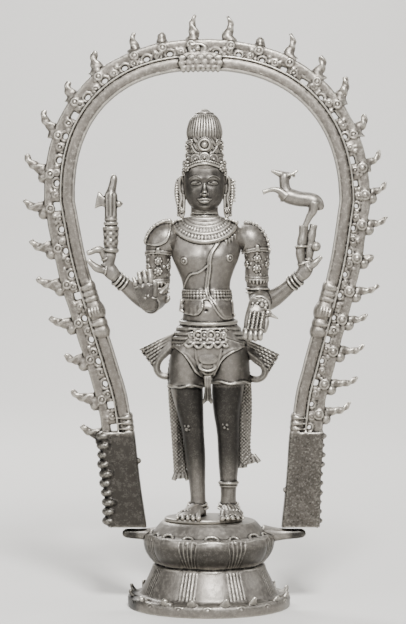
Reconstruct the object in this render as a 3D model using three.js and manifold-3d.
// A four-armed standing figure of Shiva with axe and deer, cast in bronze, on a double lotus pedestal
// inside a horseshoe aureole of flames. Three castings: the figure with its foot plate, the pedestal with
// its two side lugs, and the aureole, whose legs rest on the lugs. Millimetres, +Z up, the figure faces -Y,
// and the origin is the centre of the pedestal's flat underside.
import * as THREE from "three";
import { mergeVertices } from "three/addons/utils/BufferGeometryUtils.js";
import Module from "manifold-3d";

const wasm = await Module();
wasm.setup();

// Figure: its height from the underside of the foot plate to the tip of the crown. Its pose and proportions
// are written in units of which 452 make the height, and follow it.
const FIGURE_HEIGHT = 452;
const K = FIGURE_HEIGHT / 452;
const PLATE_HALF_WIDTH = 43 * K;
const HAND_REACH = 127 * K;
const PLATE_THICKNESS = 4;

// Pedestal, from the top down: seat, shoulder, upper lotus, waist, lower lotus and rim.
const SEAT_MARGIN = 7;
const SHOULDER_WIDTH = 20;
const SHOULDER_RISE = 14;
const UPPER_LOTUS_FLARE = 10;
const UPPER_LOTUS_RISE = 34;
const WAIST_GROOVE = 5;
const LOWER_LOTUS_FLARE = 14;
const LOWER_LOTUS_RISE = 33;
const RIM_LEDGE = 16;
const RIM_HEIGHT = 13;
const PETALS = 8;
const PETAL_GROOVE = 3;
const TIP_SPREAD = 1.5;
const TIP_RISE = 4;

// Lugs at the pedestal's sides, which carry the aureole.
const LUG_OVERHANG = 4;
const LUG_RISE = 7;
const LUG_THICKNESS = 14;
const LUG_WIDTH = 18;

// Aureole: it is laid out on the bead line between its plain inner band and its pierced outer band.
const CROWN_CLEARANCE = 42.5;
const HAND_CLEARANCE = 18.5;
const LOTUS_CLEARANCE = 5;
const SPRING_SHARE = 0.6876;
const ARCH_ROUNDNESS = 2.3;
const ARCH_OFFSET = 5.6;
const ARCH_LEAN = 11;
const PLAIN_BAND_WIDTH = 14.5;
const PLAIN_BAND_DEPTH = 18;
const PIERCED_BAND_WIDTH = 19;
const PIERCED_BAND_DEPTH = 11;
const BEAD_RISE = 1.4;
const PIERCING_LENGTH = 9;
const PIERCING_WIDTH = 6;
const PIERCINGS_PER_SIDE = 21;
// Flames of each side, from the top down: the share of the band's run, and the share of a flame's length.
const LEFT_FLAMES = [
  [0.02, 1], [0.078, 0.56], [0.14, 0.89], [0.219, 0.95], [0.286, 0.85], [0.359, 1.15], [0.436, 1.12],
  [0.503, 1.03], [0.587, 1.07], [0.663, 1.15], [0.745, 1.07], [0.826, 0.95], [0.913, 1.2], [0.994, 1],
];
const RIGHT_FLAMES = [
  [0.05, 1], [0.109, 0.5], [0.172, 1.1], [0.235, 0.96], [0.292, 1.07], [0.356, 0.89], [0.422, 0.92],
  [0.478, 0.92], [0.537, 1], [0.608, 0.6], [0.677, 1.12], [0.739, 1], [0.808, 1.15], [0.879, 1.25], [0.948, 1.3],
];
const FLAME_LENGTH = 27;
const WORN_SHARE = 0.7;
const FLAME_RADIUS = 5;
const FLAME_SINK = 3;
const CAPITAL_SHARE = 0.731;
const LEG_BLOCK_HEIGHT = 104;
const LEG_BLOCK_DEPTH = 23;
const LEG_BLOCK_INNER = 20;
const LEG_BLOCK_OUTER = 21;
const LEG_LUMPS = 4;
const LEG_LUMP_RADIUS = 6;

// One casting stands on another with this gap.
const SEAT_GAP = 0.3;

// Places that follow from the sizes above.
const seatRadius = PLATE_HALF_WIDTH + SEAT_MARGIN;
const upperLotusRadius = seatRadius + SHOULDER_WIDTH;
const waistRadius = upperLotusRadius - UPPER_LOTUS_FLARE;
const lowerLotusRadius = waistRadius + LOWER_LOTUS_FLARE;
const rimRadius = lowerLotusRadius + RIM_LEDGE;
const waistHeight = RIM_HEIGHT + LOWER_LOTUS_RISE;
const upperLotusHeight = waistHeight + UPPER_LOTUS_RISE;
const pedestalHeight = upperLotusHeight + SHOULDER_RISE;
const lugTop = upperLotusHeight + LUG_RISE;
const legBottom = lugTop + SEAT_GAP;
const legTop = legBottom + LEG_BLOCK_HEIGHT;
const footHalfWidth = upperLotusRadius + LOTUS_CLEARANCE + LEG_BLOCK_INNER;
const figureBottom = pedestalHeight + SEAT_GAP;
const archHalfWidth = HAND_REACH + HAND_CLEARANCE + PLAIN_BAND_WIDTH;
const archTop = figureBottom + FIGURE_HEIGHT + CROWN_CLEARANCE + PLAIN_BAND_WIDTH;
const springHeight = pedestalHeight + (archTop - pedestalHeight) * SPRING_SHARE;

const UP = new THREE.Vector3(0, 0, 1);
const FRONT = new THREE.Vector3(0, -1, 0);
const v3 = (x, y, z) => new THREE.Vector3(x, y, z);

// The solid inside a closed geometry, turned so that its faces point out.
function solid(geometry) {
  const bare = geometry.clone();
  bare.deleteAttribute("normal");
  bare.deleteAttribute("uv");
  const merged = mergeVertices(bare, 1e-4);
  const corners = Array.from(merged.index.array);
  const make = () =>
    new wasm.Manifold(
      new wasm.Mesh({
        numProp: 3,
        vertProperties: merged.attributes.position.array,
        triVerts: new Uint32Array(corners),
      }),
    );
  const made = make();
  if (made.volume() > 0) return made;
  for (let i = 0; i < corners.length; i += 3) {
    [corners[i + 1], corners[i + 2]] = [corners[i + 2], corners[i + 1]];
  }
  return make();
}

const union = (solids) => solids.reduce((a, b) => a.add(b));

function meshOf(name, body, material) {
  const { numProp, vertProperties, triVerts } = body.getMesh();
  const count = vertProperties.length / numProp;
  const positions = new Float32Array(count * 3);
  for (let i = 0; i < count; i++) {
    positions.set(vertProperties.subarray(i * numProp, i * numProp + 3), i * 3);
  }
  const geometry = new THREE.BufferGeometry();
  geometry.setAttribute("position", new THREE.BufferAttribute(positions, 3));
  geometry.setIndex(new THREE.BufferAttribute(new Uint32Array(triVerts), 1));
  geometry.computeVertexNormals();
  const mesh = new THREE.Mesh(geometry, material);
  mesh.name = name;
  return mesh;
}

// A closed body through rings. Each ring has a centre, a side axis u, a front axis v, half sizes a and b
// along them, and may swell its outline with shape(angle) and lift it with lift(angle), where 0 is the front.
function loft(rings, sides) {
  const geometry = new THREE.CylinderGeometry(1, 1, 1, sides, rings.length - 1);
  const position = geometry.attributes.position;
  for (let i = 0; i < position.count; i++) {
    const ring = rings[Math.round((position.getY(i) + 0.5) * (rings.length - 1))];
    const across = position.getX(i);
    const ahead = position.getZ(i);
    const onRim = across !== 0 || ahead !== 0;
    const angle = Math.atan2(across, ahead);
    const swell = ring.shape ? ring.shape(angle) : 1;
    const point = ring.centre
      .clone()
      .addScaledVector(ring.u, across * ring.a * swell)
      .addScaledVector(ring.v, ahead * ring.b * swell)
      .addScaledVector(UP, ring.lift && onRim ? ring.lift(angle) : 0);
    position.setXYZ(i, point.x, point.y, point.z);
  }
  return solid(geometry);
}

// A body of level rings, each [x, y, z, half width, half depth].
function upright(levels, sides) {
  const rings = levels.map(([x, y, z, a, b]) => ({ centre: v3(x, y, z), u: v3(1, 0, 0), v: FRONT, a, b }));
  return loft(rings, sides);
}

// A limb through points [x, y, z, radius, flatness]. Its sections are square to the way it runs, and
// flatness is the share of the radius kept along the section's axis nearest to facing.
function limb(points, sides, facing = FRONT) {
  const places = points.map(([x, y, z]) => v3(x, y, z));
  const rings = points.map(([, , , radius, flatness = 1], i) => {
    const before = places[Math.max(i - 1, 0)];
    const after = places[Math.min(i + 1, places.length - 1)];
    const along = after.clone().sub(before).normalize();
    const u = along.clone().cross(facing).normalize();
    const v = u.clone().cross(along);
    return { centre: places[i], u, v, a: radius, b: radius * flatness };
  });
  return loft(rings, sides);
}

// A plate: an outline of [x, z] points seen from the front, with an optional hole, between two depths y.
function plate(outline, near, far, hole) {
  const shape = new THREE.Shape(outline.map(([x, z]) => new THREE.Vector2(x, z)));
  if (hole) shape.holes.push(hole);
  const geometry = new THREE.ExtrudeGeometry(shape, { depth: far - near, bevelEnabled: false });
  geometry.rotateX(Math.PI / 2).translate(0, far, 0);
  return solid(geometry);
}

function knob(x, y, z, radius, depth = radius) {
  const geometry = new THREE.SphereGeometry(1, 5, 3);
  geometry.rotateX(Math.PI / 2).scale(radius, depth, radius).translate(x, y, z);
  return solid(geometry);
}

// The pedestal is turned in one piece. Grooves part its petals, and the rim is a ring of small petals whose
// tips turn up.
function pedestal() {
  const sides = PETALS * 4;
  const level = (z, radius, groove = 0, rise = 0, spread = 0) => ({
    centre: v3(0, 0, z),
    u: v3(1, 0, 0),
    v: FRONT,
    a: radius,
    b: radius,
    shape: (angle) => {
      const parting = (0.5 - 0.5 * Math.cos(angle * PETALS)) ** 2;
      const tip = 0.5 + 0.5 * Math.cos(angle * PETALS * 2);
      return 1 + (spread * tip - groove * parting) / radius;
    },
    lift: (angle) => rise * (0.5 + 0.5 * Math.cos(angle * PETALS * 2)),
  });
  const lower = (share) => RIM_HEIGHT + LOWER_LOTUS_RISE * share;
  const upper = (share) => waistHeight + UPPER_LOTUS_RISE * share;
  const lip = UPPER_LOTUS_RISE * 0.03;
  const body = loft(
    [
      level(0, rimRadius - RIM_HEIGHT * 0.2),
      level(RIM_HEIGHT * 0.5, rimRadius - TIP_SPREAD, 0, 0, TIP_SPREAD),
      level(RIM_HEIGHT, rimRadius - TIP_SPREAD * 2, 0, TIP_RISE, TIP_SPREAD * 2),
      level(RIM_HEIGHT, rimRadius - RIM_LEDGE * 0.5),
      level(lower(0.04), lowerLotusRadius, PETAL_GROOVE * 0.5),
      level(lower(0.4), waistRadius + LOWER_LOTUS_FLARE * 0.65, PETAL_GROOVE),
      level(waistHeight - lip, waistRadius, PETAL_GROOVE * 0.5),
      level(waistHeight, waistRadius - WAIST_GROOVE),
      level(waistHeight + lip, waistRadius - WAIST_GROOVE * 0.4, PETAL_GROOVE * 0.5),
      level(upper(0.35), waistRadius + UPPER_LOTUS_FLARE * 0.7, PETAL_GROOVE),
      level(upper(0.8), upperLotusRadius, PETAL_GROOVE),
      level(upperLotusHeight, upperLotusRadius - SHOULDER_WIDTH * 0.2, PETAL_GROOVE),
      level(upperLotusHeight + SHOULDER_RISE * 0.35, seatRadius + SHOULDER_WIDTH * 0.55),
      level(pedestalHeight, seatRadius),
    ],
    sides,
  );
  return union([body, lug(1), lug(-1)]);
}

// A bar that leaves the upper lotus sideways, with a flat top and an underside that rises to its end.
function lug(side) {
  const root = upperLotusRadius * 0.7;
  const reach = footHalfWidth + LUG_OVERHANG;
  const outline = [
    [root, lugTop - LUG_THICKNESS],
    [reach - LUG_THICKNESS * 1.1, lugTop - LUG_THICKNESS],
    [reach - LUG_THICKNESS * 0.4, lugTop - LUG_THICKNESS * 0.75],
    [reach, lugTop - LUG_THICKNESS * 0.3],
    [reach, lugTop],
    [root, lugTop],
  ].map(([x, z]) => [side * x + (x > root ? ARCH_OFFSET : 0), z]);
  return plate(outline, -LUG_WIDTH / 2, LUG_WIDTH / 2);
}

// How far the arch stands off centre at a height: it leans as it rises.
const leanAt = (z) => ARCH_OFFSET - (ARCH_LEAN * (z - legBottom)) / (archTop - legBottom);

// Half of the bead line, from the top of the arch down to the foot: a quarter of a rounded square down to
// the spring, and from there the legs draw in by shares [down, inward].
function halfBeadLine() {
  const steps = 48;
  const points = [];
  for (let i = 0; i < steps; i++) {
    const angle = (i / steps) * (Math.PI / 2);
    const x = archHalfWidth * Math.sin(angle) ** (2 / ARCH_ROUNDNESS);
    const z = springHeight + (archTop - springHeight) * Math.cos(angle) ** (2 / ARCH_ROUNDNESS);
    points.push(v3(x, 0, z));
  }
  const inset = new THREE.SplineCurve(
    [
      [0, 0],
      [0.18, 0.17],
      [0.345, 0.41],
      [0.507, 0.67],
      [0.658, 0.86],
      [1, 1],
    ].map(([down, inward]) => new THREE.Vector2(inward, down)),
  );
  for (const { x: inward, y: down } of inset.getPoints(steps)) {
    const x = archHalfWidth - (archHalfWidth - footHalfWidth) * inward;
    points.push(v3(x, 0, springHeight - (springHeight - legBottom) * down));
  }
  return points;
}

const beadLine = halfBeadLine();
const beadLengths = [0];
for (let i = 1; i < beadLine.length; i++) {
  beadLengths.push(beadLengths[i - 1] + beadLine[i].distanceTo(beadLine[i - 1]));
}
const footDistance = beadLengths[beadLengths.length - 1];

// A point of the bead line at a distance from the top, on side -1 or 1.
function beadPoint(distance, side) {
  const reached = Math.min(Math.abs(distance), footDistance);
  let i = 1;
  while (i < beadLine.length - 1 && beadLengths[i] < reached) i++;
  const share = (reached - beadLengths[i - 1]) / (beadLengths[i] - beadLengths[i - 1]);
  const p = beadLine[i - 1].clone().lerp(beadLine[i], share);
  return v3(p.x * side * Math.sign(distance || 1) + leanAt(p.z), 0, p.z);
}

// The same point with the direction that leads outward from it.
function onArch(distance, side) {
  const reach = PLAIN_BAND_WIDTH / 2;
  const along = beadPoint(distance + reach, side).sub(beadPoint(distance - reach, side)).normalize();
  return { place: beadPoint(distance, side), out: v3(-along.z * side, 0, along.x * side) };
}

// The distance at which the bead line comes down to a height.
function distanceAt(height) {
  let i = beadLine.length - 1;
  while (i > 1 && beadLine[i - 1].z < height) i--;
  const share = (beadLine[i - 1].z - height) / (beadLine[i - 1].z - beadLine[i].z);
  return beadLengths[i - 1] + (beadLengths[i] - beadLengths[i - 1]) * share;
}

const bandLength = distanceAt(legTop - LEG_LUMP_RADIUS);

// The arch's section, points [outward, y], swept from one leg block over the top to the other.
function archBands() {
  const half = PLAIN_BAND_DEPTH / 2;
  const thin = PIERCED_BAND_DEPTH / 2;
  const inner = -PLAIN_BAND_WIDTH;
  const bead = BEAD_RISE * 1.5;
  const section = [
    [inner, half * 0.5],
    [inner, -half * 0.5],
    [inner * 0.75, -half],
    [0, -half - BEAD_RISE],
    [bead, -thin],
    [PIERCED_BAND_WIDTH, -thin],
    [PIERCED_BAND_WIDTH, thin],
    [bead, thin],
    [0, half],
  ];
  const steps = 12;
  const position = [];
  for (let i = -steps; i <= steps; i++) {
    const { place, out } = onArch((Math.abs(i) / steps) * bandLength, i < 0 ? -1 : 1);
    for (const [n, y] of section) position.push(place.x + out.x * n, y, place.z + out.z * n);
  }
  const count = section.length;
  const end = steps * 2 * count;
  const index = [];
  for (let start = 0; start < end; start += count) {
    for (let j = 0; j < count; j++) {
      const a = start + j;
      const b = start + ((j + 1) % count);
      index.push(a, b, a + count, b, b + count, a + count);
    }
  }
  const outline = section.map(([n, y]) => new THREE.Vector2(n, y));
  for (const [a, b, c] of THREE.ShapeUtils.triangulateShape(outline, [])) {
    index.push(b, a, c, end + a, end + b, end + c);
  }
  const geometry = new THREE.BufferGeometry();
  geometry.setAttribute("position", new THREE.Float32BufferAttribute(position, 3));
  geometry.setIndex(index);
  return solid(geometry);
}

// A geometry made with its own y axis outward and z axis to the front, placed on the arch.
function placedOnArch(geometry, distance, side, outward, y) {
  const { place, out } = onArch(distance, side);
  const turn = new THREE.Matrix4().makeBasis(out.clone().cross(FRONT), out, FRONT);
  turn.setPosition(place.x + out.x * outward, y, place.z + out.z * outward);
  return solid(geometry.applyMatrix4(turn));
}

function piercings() {
  const cuts = [];
  const pitch = bandLength / PIERCINGS_PER_SIDE;
  const outward = (PIERCED_BAND_WIDTH + BEAD_RISE) * 0.32;
  for (const side of [-1, 1]) {
    for (let i = 0; i < PIERCINGS_PER_SIDE; i++) {
      const hole = new THREE.BoxGeometry(PIERCING_LENGTH, PIERCING_WIDTH, PIERCED_BAND_DEPTH * 3);
      cuts.push(placedOnArch(hole, (i + 0.5) * pitch, side, outward, 0));
    }
  }
  return union(cuts);
}

// A tongue of flame: a bulb on the band's edge, drawn out to a tip. Flames lick upward, so those at the
// shoulders of the arch stand nearly straight and those at its sides lean out.
function flame(distance, side, length) {
  const { place, out } = onArch(distance, side);
  const heading = out.clone().addScaledVector(UP, 0.45 + 2 * Math.max(out.z, 0)).normalize();
  const root = place.clone().addScaledVector(out, PIERCED_BAND_WIDTH - FLAME_SINK);
  const worn = [
    [0, 1.15],
    [1, 0.36],
  ];
  const whole = [
    [0, 1.15],
    [0.42, 0.6],
    [1, 0.16],
  ];
  const points = (length < FLAME_LENGTH * WORN_SHARE ? worn : whole).map(([t, width]) => {
    const lick = length * 0.18 * t * t;
    const p = root.clone().addScaledVector(heading, length * t).addScaledVector(UP, lick);
    return [p.x, p.y, p.z, FLAME_RADIUS * width, 0.85];
  });
  return limb(points, 4);
}

// The flames of one side, with their worn stubs.
function flameRow(side, flames) {
  return flames.map(([along, share]) => flame(bandLength * along, side, FLAME_LENGTH * share));
}

// A turned length of the plain band, given by levels [height, rise over the band].
function turning(side, levels) {
  const points = levels.map(([height, rise]) => {
    const { place, out } = onArch(distanceAt(height), side);
    const inward = -PLAIN_BAND_WIDTH / 2 - rise * 0.4;
    const half = PLAIN_BAND_WIDTH / 2 + rise;
    const flatness = (PLAIN_BAND_DEPTH / 2 + rise * 1.3) / half;
    return [place.x + out.x * inward, 0, place.z + out.z * inward, half, flatness];
  });
  return limb(points, 6);
}

// A vase capital part way down each leg, between rings, and three rings over the leg block.
function capitals() {
  const top = legBottom + (springHeight - legBottom) * CAPITAL_SHARE;
  const vase = [
    [3, 2],
    [-6, 1],
    [-13, 2.5],
    [-19, 1],
    [-27, 5],
    [-36, 1.5],
    [-42, 3],
    [-53, 1],
  ].map(([step, rise]) => [top + step, rise]);
  const rings = [];
  for (let i = 0; i < 3; i++) rings.push([legTop + 3 + i * 6, 2.5], [legTop + 6 + i * 6, 0.8]);
  return [-1, 1].flatMap((side) => [turning(side, vase), turning(side, rings)]);
}

// The square block at the foot of each leg, with worn lumps down its outer edge.
function legBlock(side) {
  const head = Math.abs(beadPoint(distanceAt(legTop), side).x - leanAt(legTop));
  const middle = (footHalfWidth + head) / 2;
  const halfway = (legBottom + legTop) / 2;
  const outline = [
    [footHalfWidth - LEG_BLOCK_INNER, legBottom],
    [footHalfWidth + LEG_BLOCK_OUTER, legBottom],
    [middle + LEG_BLOCK_OUTER, halfway],
    [head + LEG_BLOCK_OUTER, legTop],
    [head - PLAIN_BAND_WIDTH - 2, legTop],
    [middle - LEG_BLOCK_INNER + 2, halfway],
  ].map(([x, z]) => [side * x + leanAt(z), z]);
  const made = [plate(outline, -LEG_BLOCK_DEPTH / 2, LEG_BLOCK_DEPTH / 2)];
  const depth = LEG_BLOCK_DEPTH - LEG_LUMP_RADIUS;
  for (let i = 0; i < LEG_LUMPS; i++) {
    const share = (i + 0.75) / (LEG_LUMPS + 0.5);
    const z = legBottom + LEG_BLOCK_HEIGHT * share;
    const x = footHalfWidth + (head - footHalfWidth) * share + LEG_BLOCK_OUTER - LEG_LUMP_RADIUS * 0.4;
    const lump = new THREE.CylinderGeometry(LEG_LUMP_RADIUS, LEG_LUMP_RADIUS, depth, 5);
    lump.translate(side * x + leanAt(z), 0, z);
    made.push(solid(lump));
  }
  return made;
}

// The leafy boss at the top of the arch: a lobed plate with raised knobs.
function keystone() {
  const half = 26;
  const face = -PLAIN_BAND_DEPTH / 2;
  const bend = (x, height) => archTop + height - (x * x) / (2 * archHalfWidth);
  const shift = leanAt(archTop);
  const outline = [
    [-half, -PLAIN_BAND_WIDTH],
    [half, -PLAIN_BAND_WIDTH],
    [half * 1.1, -2],
    [half * 0.8, PIERCED_BAND_WIDTH * 0.7],
    [-half * 0.8, PIERCED_BAND_WIDTH * 0.7],
    [-half * 1.1, -2],
  ].map(([x, height]) => [x + shift, bend(x, height)]);
  const made = [plate(outline, face - BEAD_RISE, 0)];
  const rows = [
    [-PLAIN_BAND_WIDTH * 0.6, 0.7, 4],
    [PIERCED_BAND_WIDTH * 0.25, 0.6, 3],
  ];
  for (const [height, spread, count] of rows) {
    for (let i = 0; i < count; i++) {
      const x = half * spread * ((2 * i) / (count - 1) - 1);
      made.push(knob(x + shift, face - BEAD_RISE, bend(x, height), 6, 3));
    }
  }
  return made;
}

function aureole() {
  return union([
    archBands().subtract(piercings()),
    ...flameRow(-1, LEFT_FLAMES),
    ...flameRow(1, RIGHT_FLAMES),
    ...capitals(),
    ...legBlock(-1),
    ...legBlock(1),
    ...keystone(),
  ]);
}

// The figure, from here on in its own units above the underside of its foot plate.
const ARM_AXIS = -1.5;
const CROWN_X = -5;

function footPlate() {
  const half = PLATE_HALF_WIDTH / K;
  return upright(
    [
      [-6, -5, 0, half, 35],
      [-6, -5, PLATE_THICKNESS / K, half, 35],
    ],
    12,
  );
}

// A leg from the ankle up to the hip, with an anklet and the short cloth over the thigh, which ends in a
// standing hem. The levels between foot and hem are given, the cloth hangs around (hipX, half width).
function leg(levels, hipX, half, foot) {
  const cloth = [
    [hipX, 0, 145, half, 22],
    [hipX, 0, 170, half + 0.5, 24],
    [hipX * 0.8, 0, 192, half, 23],
  ];
  return [upright([...levels, ...cloth], 8), limb(foot, 6, UP)];
}

function legs() {
  const left = leg(
    [
      [-12, 3, 5, 9, 9],
      [-12, 2, 16, 8.8, 9.3],
      [-12, 1.5, 18, 11.2, 11.2],
      [-12, 1.5, 22, 11.2, 11.2],
      [-12.2, 1, 24, 8.6, 9.5],
      [-14.5, 2, 62, 10.8, 12.5],
      [-17, 0, 92, 11.7, 12.5],
      [-21, -2, 122, 15, 16],
      [-24, -1, 144, 17.5, 18.5],
    ],
    -25,
    19.5,
    [
      [-11, 12, 9, 7.5, 0.8],
      [-14, -4, 11, 9, 0.85],
      [-20, -24, 8.5, 11.5, 0.45],
      [-24, -36, 7, 11, 0.32],
    ],
  );
  const right = leg(
    [
      [21, 3, 5, 9, 9],
      [21.4, 1, 38, 8.8, 10],
      [21.4, 1, 39, 10.8, 11.5],
      [21.4, 1, 43, 10.8, 11.5],
      [21.5, 1, 44, 9.2, 10.6],
      [21.6, 2, 62, 11, 12.5],
      [21.2, 0, 92, 11.9, 12.5],
      [20, -2, 122, 15, 16],
      [20, -1, 144, 17.5, 18.5],
    ],
    23,
    21,
    [
      [19, 12, 9, 7.5, 0.8],
      [20.5, -4, 11, 9, 0.85],
      [24, -24, 8.5, 11.5, 0.45],
      [26, -36, 7, 11, 0.32],
    ],
  );
  return [...left, ...right];
}

// The trunk from hips to neck, with the hip girdle, the belt and the waist band standing out from it.
function torso() {
  return upright(
    [
      [-0.5, 0, 166, 30, 20],
      [-0.5, 0, 186, 40.5, 26.5],
      [-0.5, 0, 202, 40.5, 28],
      [-0.5, 0, 214, 34, 24],
      [-1, 0, 218, 31.5, 24.5],
      [-1, 0, 225, 30, 23.5],
      [-1, -1, 227, 27.5, 22],
      [-1.5, -2, 236, 27.5, 22.5],
      [-2.3, -0.5, 243, 26.5, 20.5],
      [-2.3, -0.5, 244, 28.5, 22.5],
      [-2.7, -0.5, 252, 28, 21.5],
      [-2.7, -0.5, 253, 26, 19.5],
      [-3.5, -1, 268, 27.5, 20],
      [-3.8, -2, 286, 35.5, 23],
      [-4, 0, 303, 39, 22],
      [-4.5, 1, 318, 35, 18],
      [-5, 1, 329, 18, 14],
      [-5, -1, 348, 13.5, 12.5],
    ],
    12,
  );
}

// The clasp of the girdle, the broad torque, the breast jewels and the sacred thread.
function ornaments() {
  const thread = [
    [13, -18, 306, 2.2],
    [4, -24, 290, 2.2],
    [0, -21.5, 266, 2.2],
    [1, -23.5, 250, 2.2],
  ];
  const torque = [
    [-4, -3.5, 302, 22, 18.5],
    [-4.5, -3.5, 306, 31, 21.5],
    [-4.5, -2.5, 319, 33, 17.5],
    [-5, -1, 331, 19, 15],
  ];
  return [
    upright(torque, 10),
    knob(-1, -27, 206, 9, 5),
    knob(-22, -21, 285, 4.5, 3.5),
    knob(15, -21, 287, 4.5, 3.5),
    limb(thread, 4),
  ];
}

// The loop of sash that hangs across the front of the thighs, and the tassel below it.
function frontSash() {
  const points = [];
  const steps = 6;
  for (let i = 0; i <= steps; i++) {
    const swing = (i / steps) * 2 - 1;
    points.push([1 + 33 * swing, -22 - 7 * (1 - swing * swing), 190 - 34 * (1 - swing * swing), 3.4]);
  }
  const tassel = [
    [-1.5, -28, 158, 3.5, 0.7],
    [-1.5, -27, 146, 3, 0.7],
    [-2, -26, 134, 3.5, 0.6],
  ];
  return [limb(points, 4), limb(tassel, 4)];
}

// A pleated sash end that stands out from the hip, with a loop below it.
function hipFan(side, reach, top, tip, fall) {
  const inner = 34;
  const outline = [
    [inner, top],
    [reach, tip],
    [reach - 11, tip - 15],
    [inner + 16, tip - 3],
    [inner + 4, fall],
    [inner, fall],
  ].map(([x, z]) => [side * x, z]);
  const ringX = side * 52;
  const ringZ = tip - 16;
  const hole = new THREE.Path();
  hole.absellipse(ringX, ringZ, 4.5, 7.5, 0, Math.PI * 2, true);
  const ring = new THREE.Shape();
  ring.absellipse(ringX, ringZ, 9.5, 13.5, 0, Math.PI * 2, false);
  const outer = ring.getPoints(4).map(({ x, y }) => [x, y]);
  const inside = new THREE.Path(hole.getPoints(3));
  return [plate(outline, -4, 4), plate(outer.slice(0, -1), -3, 3, inside)];
}

// The long sash ends that hang behind the legs.
function backSashes() {
  const left = [
    [-38, 6, 172, 8, 0.7],
    [-42, 8, 146, 3.6, 1],
    [-40, 12, 110, 4, 0.8],
    [-35, 13, 75, 5.5, 0.6],
    [-31, 13, 46, 8.5, 0.5],
    [-30, 12, 38, 7, 0.5],
  ];
  const right = [
    [36, 6, 172, 8, 0.7],
    [42, 8, 146, 3.6, 1],
    [41, 12, 110, 4.5, 0.8],
    [38.7, 13, 74, 6.5, 0.6],
    [41, 13, 60, 10, 0.5],
    [42, 12, 50, 8, 0.5],
  ];
  return [limb(left, 5), limb(right, 5)];
}

function head() {
  const x = CROWN_X;
  const ear = (side) =>
    limb(
      [
        [x + side * 20, 1, 381, 4, 0.6],
        [x + side * 26, 1, 374, 5, 0.6],
        [x + side * 28, 0, 356, 3.2, 0.8],
        [x + side * 28, -1, 344, 5, 0.6],
        [x + side * 27, -1, 335, 3.5, 0.7],
      ],
      4,
    );
  const skull = upright(
    [
      [x, -4, 338, 8, 9],
      [x, -4, 342, 14, 16],
      [x, -3, 350, 19.5, 20.5],
      [x, -2, 364, 22, 22.5],
      [x, -1, 378, 22.5, 23.5],
      [x, 0, 390, 21, 23],
    ],
    10,
  );
  const nose = [
    [x, -21, 376, 2],
    [x, -27, 364, 3.6, 0.8],
    [x, -24, 361, 2.5],
  ];
  return [skull, limb(nose, 4, UP), ear(-1), ear(1)];
}

// The tall crown of matted hair: diadem, jewelled tier, ribbed locks and a cap.
function crown() {
  const x = CROWN_X;
  const locks = 12;
  const tower = loft(
    [
      [0, 386, 24, 25.5],
      [0, 398, 24, 25.5],
      [0, 401, 20.5, 21.5],
      [0, 412, 21.5, 21.5],
      [0, 424, 20.5, 20.5, 1],
      [0, 435, 17.5, 17.5, 1],
      [0, 443, 13.5, 13.5, 0.8],
      [0, 447, 7, 7],
      [0, FIGURE_HEIGHT / K, 4, 4],
    ].map(([y, z, a, b, rib = 0]) => ({
      centre: v3(x, y, z),
      u: v3(1, 0, 0),
      v: FRONT,
      a,
      b,
      shape: (angle) => 1 - (rib / a) * (Math.round((angle * locks) / (2 * Math.PI)) % 2 ? 1 : 0),
    })),
    locks,
  );
  const jewels = [];
  for (let i = -2; i <= 2; i++) {
    const angle = (i * Math.PI) / 5.5;
    jewels.push(knob(x + 23.5 * Math.sin(angle), -24.5 * Math.cos(angle), 396, 5, 3));
  }
  return [tower, ...jewels, knob(x, -20, 412, 7, 5)];
}

// An upper arm with its shoulder pad and armlet, and the rear forearm that leaves it at the elbow and ends in
// a bangled wrist and a palm.
function armPair(side) {
  const place = ([dx, y, z, ...rest]) => [ARM_AXIS + side * dx, y, z, ...rest];
  const upper = [
    [30, -1, 315, 12],
    [44, -1, 311, 16],
    [53, -0.5, 302, 16],
    [54, 1, 297, 13],
    [53.5, 1.5, 285, 13],
    [53.8, 1.5, 283, 15.5],
    [54, 2, 272, 15],
    [54.2, 2, 270, 12.2],
    [55, 4, 252, 11.5],
    [57, 5, 241, 10.5],
  ];
  const rear = [
    [56, 5, 246, 10.5],
    [67, 2, 240, 10.5],
    [82, -4, 252, 8.8],
    [92, -9, 260, 7.4],
    [93, -9.5, 261, 9],
    [98, -12, 265.5, 8.6],
    [99, -12.5, 266.5, 6.8],
    [104, -15, 272, 8, 0.8],
    [110, -16, 280, 8, 0.7],
  ];
  const boss = place([61, -9, 282]);
  return [
    limb(upper.map(place), 7),
    limb(rear.map(place), 6),
    knob(boss[0], boss[1], boss[2], 6.5),
  ];
}

// The axe, stood on the fingers of the rear hand on the left as seen from the front.
function axeHand() {
  const stack = [
    [-110, -15, 276, 6.5],
    [-110.5, -15, 290, 7],
    [-107.5, -15, 297, 7],
    [-107, -15, 299, 9],
    [-107, -15, 320, 9],
    [-107, -15, 323, 7],
    [-107, -15, 327, 9],
    [-107, -15, 331, 6.8],
    [-107.2, -15, 360, 6.6],
    [-104, -15, 364, 4],
    [-103, -15, 378.7, 1.2],
  ];
  const blade = [
    [-107, 357],
    [-114, 353.5],
    [-121, 361],
    [-124.6, 342],
    [-117, 346],
    [-107, 340],
  ];
  const longFinger = [
    [-112, -16, 281, 4],
    [-116.5, -17, 298, 3.2],
    [-134, -20, 295, 2.4],
  ];
  const shortFinger = [
    [-114, -17, 277, 3.4],
    [-124, -19, 277.5, 3],
    [-132, -20, 286, 2.4],
  ];
  return [
    limb(stack, 6),
    plate(blade, -17, -13),
    knob(-98.5, -15, 347.5, 4.2),
    limb(longFinger, 4, UP),
    limb(shortFinger, 4, UP),
  ];
}

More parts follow.
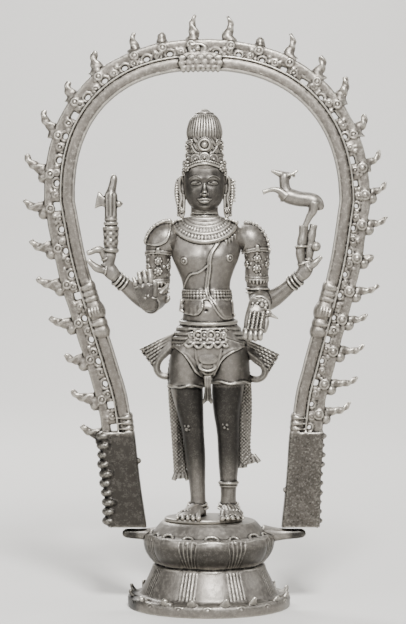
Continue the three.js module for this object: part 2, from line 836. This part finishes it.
// The leaping deer, poised on the fingers of the other rear hand.
function deerHand() {
  const firstFinger = [
    [102, -15, 276, 6.5],
    [99, -16, 294, 5],
    [101, -16, 304, 5.2],
    [104, -16, 325, 4.8],
  ];
  const secondFinger = [
    [108, -15, 278, 6.5],
    [110, -15, 302, 4.8],
    [112.5, -15, 325, 4.4],
  ];
  const thumb = [
    [108, -16, 278, 4.5],
    [116, -17, 284, 3.6],
    [122, -17, 292, 2.6],
  ];
  const body = [
    [79, -15, 361, 4.5],
    [85, -15, 357, 7.5],
    [96, -15, 353, 8.5],
    [116, -15, 351, 7.5],
    [122, -15, 346, 3],
  ];
  const neck = [
    [83, -15, 355, 6.5],
    [80.5, -15, 372, 4.6],
    [81, -15, 381, 4],
  ];
  const face = [
    [95, -15, 383, 1.6],
    [84, -15, 380, 5],
    [74, -15, 381.5, 4],
    [67.5, -15, 382.5, 2.2],
  ];
  const foreleg = [
    [59, -15, 360.5, 2],
    [70, -15, 363.5, 2.8],
    [84, -15, 357, 4.5],
  ];
  const hindLeg = [
    [117, -15, 349, 6],
    [111, -15, 334, 4.2],
    [106, -15, 322, 3.6],
  ];
  return [
    limb(firstFinger, 4),
    limb(secondFinger, 4),
    knob(115.5, -16, 300.6, 4.6),
    limb(thumb, 4, UP),
    limb(body, 6, UP),
    limb(neck, 4),
    limb(face, 4, UP),
    limb(foreleg, 4, UP),
    limb(hindLeg, 4),
  ];
}

// The front hand on the left, raised with its palm to the front.
function raisedHand() {
  const forearm = [
    [-56.5, 4, 246, 11],
    [-57.5, -12, 240, 11.5],
    [-60.5, -32, 235, 9.5],
    [-62, -44, 234, 8.4],
    [-62.2, -46, 234, 10],
    [-63, -56, 233.5, 9.5],
    [-63.2, -58, 233.5, 7.5],
    [-64.5, -68, 235, 7],
  ];
  const palm = [
    [-65, -66, 233, 7, 0.9],
    [-66.5, -69, 243, 9.5, 0.55],
    [-67.5, -71, 253, 11, 0.45],
    [-68.5, -71, 262, 10, 0.36],
  ];
  const tips = [
    [-79.5, 268],
    [-74.5, 273.5],
    [-69, 275],
    [-63.5, 276],
  ];
  const finger = ([x, z], i) => {
    const knuckle = [-75 + i * 4.6, -71, 256, 3];
    return limb([knuckle, [x, -72, z, 2.3]], 4);
  };
  const thumb = [
    [-62, -70, 247, 3.4],
    [-57, -73, 257, 3],
    [-55.5, -73, 266, 2.2],
  ];
  return [limb(forearm, 6, UP), limb(palm, 6), ...tips.map(finger), limb(thumb, 4)];
}

// The front hand on the right, hung from the wrist with its fingers curled.
function loweredHand() {
  const forearm = [
    [56, 4, 246, 11],
    [56.5, -14, 240, 11.5],
    [54.5, -34, 236, 9.6],
    [54, -40, 236, 9.2],
    [53.8, -42, 236, 11],
    [53, -52, 236, 10.6],
    [52.8, -54, 236, 8.4],
    [50, -71, 237, 7.5],
  ];
  const hand = [
    [50, -69, 241, 6, 0.9],
    [49, -76, 231, 9, 0.7],
    [47.5, -80, 220, 10.5, 0.55],
    [45, -80, 204.5, 8, 0.6],
  ];
  const finger = (i) => knob(38 + i * 5.4, -84, 205.5 + i * 0.6, 3.4, 4.5);
  return [
    limb(forearm, 6, UP),
    limb(hand, 6),
    ...[0, 1, 2, 3].map(finger),
    knob(55, -68, 238, 6),
  ];
}

function figure() {
  const whole = union([
    footPlate(),
    ...legs(),
    torso(),
    ...ornaments(),
    ...frontSash(),
    ...hipFan(-1, 75, 208, 188, 178),
    ...hipFan(1, 75, 205, 184, 176),
    ...backSashes(),
    ...head(),
    ...crown(),
    ...armPair(-1),
    ...armPair(1),
    ...axeHand(),
    ...deerHand(),
    ...raisedHand(),
    ...loweredHand(),
  ]);
  return whole.scale([K, K, K]).translate([0, 0, figureBottom]);
}

const bronze = (colour, roughness) =>
  new THREE.MeshStandardMaterial({ color: colour, roughness, metalness: 0.9 });

const part = new THREE.Group();
part.add(
  meshOf("shiva_figure", figure(), bronze(0x5b5547, 0.42)),
  meshOf("lotus_pedestal", pedestal(), bronze(0x5e584a, 0.46)),
  meshOf("flame_aureole", aureole(), bronze(0x57513f, 0.5)),
);

export default part;
